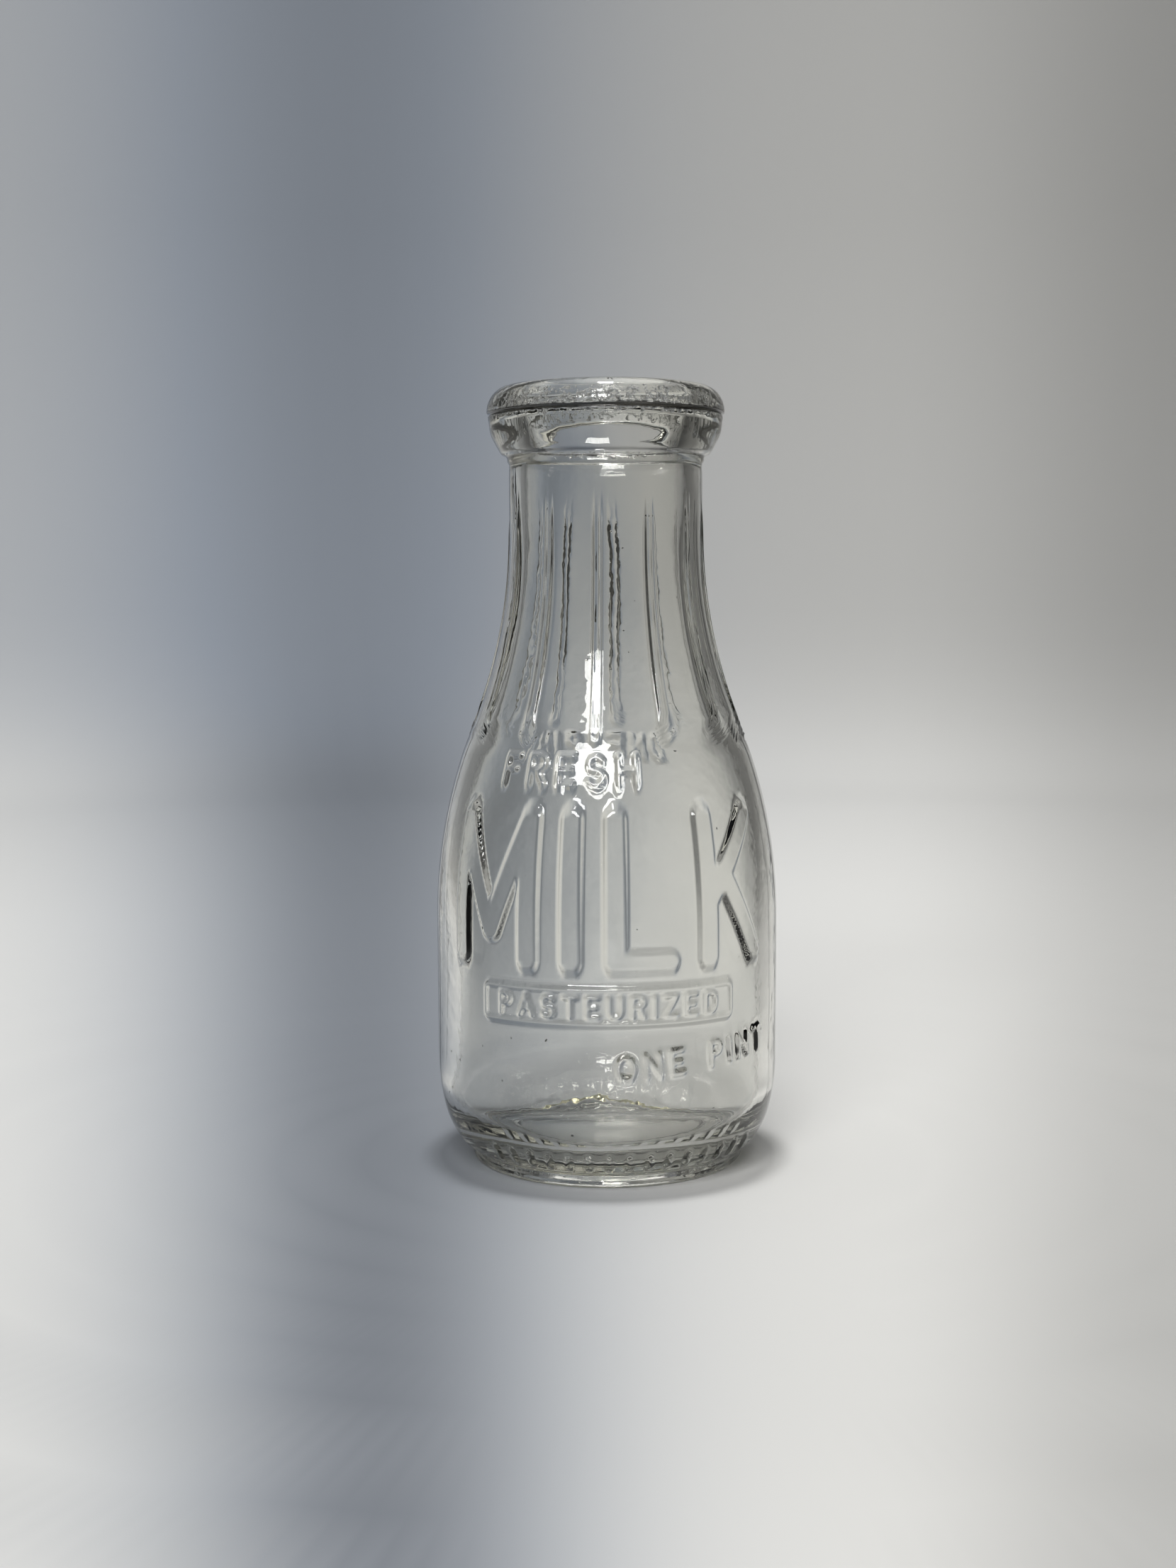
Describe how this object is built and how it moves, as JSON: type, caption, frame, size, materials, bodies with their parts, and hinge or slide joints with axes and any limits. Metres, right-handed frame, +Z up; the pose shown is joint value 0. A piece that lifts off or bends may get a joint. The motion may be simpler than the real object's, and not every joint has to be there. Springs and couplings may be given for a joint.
{
  "type": "milk bottle",
  "caption": "Round glass milk bottle with a rolled lip, cap seat, ribbed neck, raised lettering and a foot ring.",
  "frame": {"origin": "centre of the foot's resting plane", "axes": "+Z up through the mouth, front with the large word faces -Y, +X to the front's right"},
  "size_m": [0.082, 0.0827, 0.185],
  "materials": {
    "clear_glass": "fire-polished soda-lime glass, faint grey-green tint"
  },
  "bodies": {
    "root": {"bottle_glass": "clear_glass"}
  },
  "joints": []
}
